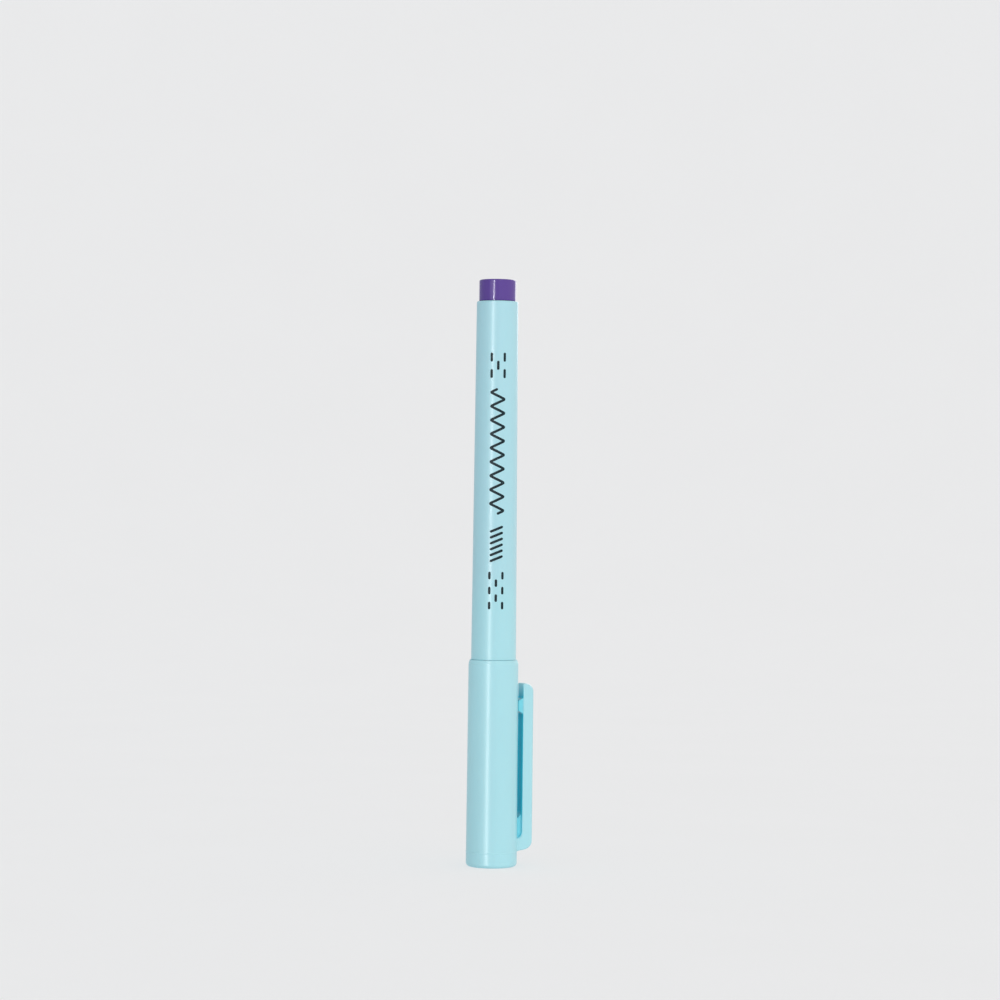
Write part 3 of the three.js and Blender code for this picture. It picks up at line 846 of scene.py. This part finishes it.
def printed_ink(name, colour, under):
    """Pad-printed ink, thin enough at pinholes for the plastic to show."""
    graph = Graph(name)
    thin = graph.ramp(graph.noise(per_mm=5, detail=4), 0.66, 0.74)
    body = graph.mix(graph.maths("MULTIPLY", thin, 0.5), colour, under)
    cloud = graph.ramp(graph.noise(per_mm=0.8), *SOFT)
    body = graph.mix(graph.maths("MULTIPLY", cloud, 0.2), body, shade(colour, 1.8))
    bump = graph.node("Bump", Strength=0.25, Distance=0.006 * MM, Height=graph.noise(per_mm=12))
    roughness = graph.ramp(cloud, 0, 1, 0.5, 0.62)
    return graph.finish(Base_Color=body, Roughness=roughness, Normal=bump, Specular_IOR_Level=SHINE_OF_INK)


def clear_film(name):
    """Thin wrapping film, faintly creased along its length."""
    graph = Graph(name)
    crease = graph.noise(per_mm=1.2, stretch=(1, 1, 0.15))
    body = graph.mix(crease, FILM_GREY, FILM_PALE)
    bump = graph.node("Bump", Strength=0.4, Distance=0.02 * MM, Height=crease)
    roughness = graph.ramp(crease, 0, 1, 0.12, 0.25)
    return graph.finish(Base_Color=body, Roughness=roughness, Normal=bump, Alpha=0.4)


# The barrel, cap, plug, liner and holder darken to painted shade in their gaps, and the clip in its slot
barrel_plastic = moulded(
    "barrel_plastic", AQUA, AQUA_IN_SHADE, rough=0.3, glow=0.08, most_shade=0.15, over_ink=AQUA_OVER_INK)
cap_plastic = moulded("cap_plastic", CAP_AQUA, AQUA_IN_SHADE, rough=0.295, glow=0.08, most_shade=0.25)
clip_plastic = moulded("clip_plastic", CAP_AQUA, AQUA_IN_SHADE, rough=0.295, glow=0.08, slot=True)
plug_plastic = moulded("plug_plastic", PURPLE, PURPLE_IN_SHADE, rough=0.15, scuff=0.2, wave=20.0)
liner_plastic = moulded("liner_plastic", LINER_WHITE, LINER_IN_SHADE, rough=0.5, glow=0.15)
holder_plastic = moulded("holder_plastic", HOLDER_WHITE, HOLDER_IN_SHADE, rough=0.4, glow=0.15)
nib_fibre = fibre("nib_fibre", NIB_PURPLE, NIB_DARK)
core_fibre = fibre("core_fibre", CORE_PURPLE, CORE_DARK)
film_plastic = clear_film("film_plastic")
print_ink = printed_ink("print_ink", INK, AQUA)


def dress(piece, material, body, slot, *nodes):
    """Gives a piece its material and body, and hides the CAD nodes that it stands for. slot is not used."""
    piece.data.materials.append(material)
    if body:
        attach(piece, body)
    if nodes:
        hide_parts(*nodes)
    return piece


dress(cap_body(), cap_plastic, "cap", "cap_aqua", "cap_shell")
dress(inner_cap_body(), liner_plastic, "inner_cap", "liner_white", "inner_cap")
dress(barrel_body(), barrel_plastic, "pen", "barrel_aqua", "barrel")
dress(print_marks(), print_ink, "pen", "barrel_aqua")
dress(tail_plug_body(), plug_plastic, "pen", "plug_purple", "tail_plug")
dress(nib_holder_body(), holder_plastic, "pen", "holder_white", "nib_holder")
dress(nib_body(), nib_fibre, "pen", "nib_fibre", "nib")
dress(reservoir_core_body(), core_fibre, "pen", "reservoir_fibre", "reservoir_core")
dress(reservoir_film_body(), film_plastic, "pen", "film_clear", "reservoir_film")
clip = dress(clip_body(), clip_plastic, None, "cap_aqua", "clip")
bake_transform(clip)


# ---------------------------------------------------------------- stage, lights and camera, in metres

CAMERA_DISTANCE = 0.7
CAMERA_HEIGHT = 0.0862
CAMERA_SIDESTEP = 0.0011
CAMERA_ROLL = 0.65  # degrees
VIEW_ANGLE = 19.1  # degrees
NEAREST, FARTHEST = 0.01, 10  # that the camera sees
BOWL_RADIUS = 1.1
BOWL_CORNER = 0.5
BOWL_HEIGHT = 1.6
BOWL_SIDES = 96
FLAT_RINGS = (0.02, 0.1, 0.2, 0.3, 0.4, 0.5)
CORNER_RINGS = 25

# How much the paper glows to the camera, as room light, and in reflections at the camera's left and right
SEEN_GLOW, ROOM_GLOW = 0.545, 0.44
MIRRORED_LEFT, MIRRORED_RIGHT = 0.22, 0.5
COOL, WARM, WHITE = (0.89, 0.98, 1.08, 1), (1.05, 1.0, 0.97, 1), (1, 1, 1, 1)
PAPER_DARK, PAPER_LIGHT = (0.4, 0.4, 0.4, 1), (0.42, 0.42, 0.42, 1)
WORLD_GLOW = 0.55


def toward(bearing):
    """Level direction from the pen to something at this many degrees to the right of the camera."""
    angle = math.radians(CAMERA_BEARING + bearing)
    return Vector((math.sin(angle), -math.cos(angle), 0))


def studio_floor():
    """A pale floor that curves up into a round wall."""
    outline = [(radius, 0) for radius in FLAT_RINGS]
    for angle in np.linspace(0, math.pi / 2, CORNER_RINGS):
        radius = BOWL_RADIUS - BOWL_CORNER + BOWL_CORNER * math.sin(angle)
        outline.append((radius, BOWL_CORNER - BOWL_CORNER * math.cos(angle)))
    outline.append((BOWL_RADIUS, BOWL_HEIGHT))
    sides = BOWL_SIDES
    vertices, faces = [(0, 0, 0)], [(0, 1 + side, 1 + (side + 1) % sides) for side in range(sides)]
    for radius, height in outline:
        for side in range(sides):
            angle = 2 * math.pi * side / sides
            vertices.append((radius * math.cos(angle), radius * math.sin(angle), height))
    for ring in range(len(outline) - 1):
        for side in range(sides):
            here, ahead = 1 + ring * sides + side, 1 + ring * sides + (side + 1) % sides
            faces.append((here, here + sides, ahead + sides, ahead))
    mesh = bpy.data.meshes.new("studio_floor")
    mesh.from_pydata(vertices, [], faces)
    mesh.shade_smooth()
    floor = bpy.data.objects.new("studio_floor", mesh)
    bpy.context.scene.collection.objects.link(floor)
    floor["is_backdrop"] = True
    return floor


def floor_paper():
    """Pale paper that glows. Its light is warmer from the right, and its reflection is brighter there."""
    graph = Graph("floor_paper")
    colour = graph.mix(graph.noise(per_mm=0.02), PAPER_DARK, PAPER_LIGHT)
    seen = graph.node("LightPath", "Is Camera Ray")
    mirrored = graph.node("LightPath", "Is Glossy Ray")
    across = graph.node(
        "VectorMath", "Value", {"operation": "DOT_PRODUCT"}, _0=graph.place(), _1=tuple(camera_right))
    side = graph.ramp(across, -BOWL_RADIUS / MM, BOWL_RADIUS / MM)
    mirrored_glow = graph.ramp(side, 0, 1, MIRRORED_LEFT, MIRRORED_RIGHT)
    glow = graph.choose(mirrored, ROOM_GLOW, mirrored_glow)
    return graph.finish(
        Base_Color=colour,
        Roughness=0.9,
        Specular_IOR_Level=0.0,
        Emission_Color=graph.mix(seen, graph.mix(side, COOL, WARM), WHITE),
        Emission_Strength=graph.choose(seen, glow, SEEN_GLOW),
    )


def soft_light(name, bearing, height, distance, wide, tall, power, shading=True, shine=True):
    """An area light at a bearing from the camera, that faces the pen's middle and lights only the pen.

    Without shading it shows only as a reflection, and without shine it shows in none.
    """
    lamp = bpy.data.lights.new(name, "AREA")
    lamp.shape = "RECTANGLE"
    lamp.size, lamp.size_y = wide, tall
    lamp.energy = power
    light = bpy.data.objects.new(name, lamp)
    light.location = toward(bearing) * distance + Vector((0, 0, height))
    aim = Vector((0, 0, PEN_LENGTH * MM / 2)) - light.location
    light.rotation_euler = aim.to_track_quat("-Z", "Y").to_euler()
    light.visible_camera = False
    light.visible_diffuse = shading
    light.visible_glossy = shine
    light.light_linking.receiver_collection = pen_pieces
    light.light_linking.blocker_collection = pen_pieces
    bpy.context.scene.collection.objects.link(light)
    return light


to_camera = toward(0)
camera_right = Vector((-to_camera.y, to_camera.x, 0))
studio_floor().data.materials.append(floor_paper())
pen_pieces = bpy.data.collections.new("pen_pieces")
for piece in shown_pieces():
    pen_pieces.objects.link(piece)
soft_light("strip_light", bearing=-22.6, height=0.07, distance=0.85, wide=0.03, tall=1.2, power=6.2,
           shading=False)
soft_light("left_sheen", bearing=-36, height=0.07, distance=0.95, wide=0.4, tall=1.2, power=1.5,
           shading=False)
soft_light("front_softbox", bearing=25, height=0.25, distance=0.95, wide=0.6, tall=0.9, power=3.6,
           shine=False)
soft_light("back_softbox", bearing=160, height=0.35, distance=0.9, wide=0.5, tall=0.9, power=2.2)

world = bpy.data.worlds.new("studio_world")
world.use_nodes = True
world.node_tree.nodes["Background"].inputs["Color"].default_value = WHITE
world.node_tree.nodes["Background"].inputs["Strength"].default_value = WORLD_GLOW
bpy.context.scene.world = world
bpy.context.scene.view_settings.view_transform = "Standard"

lens = bpy.data.cameras.new("camera")
lens.sensor_width = 36
lens.angle = math.radians(VIEW_ANGLE)
lens.clip_start, lens.clip_end = NEAREST, FARTHEST
camera = bpy.data.objects.new("camera", lens)
camera.location = to_camera * CAMERA_DISTANCE + camera_right * CAMERA_SIDESTEP
camera.location.z = CAMERA_HEIGHT
facing = (-to_camera).to_track_quat("-Z", "Y").to_matrix().to_4x4()
roll = Matrix.Rotation(math.radians(CAMERA_ROLL), 4, "Z")
camera.matrix_world = Matrix.Translation(camera.location) @ facing @ roll
bpy.context.scene.collection.objects.link(camera)
bpy.context.scene.camera = camera
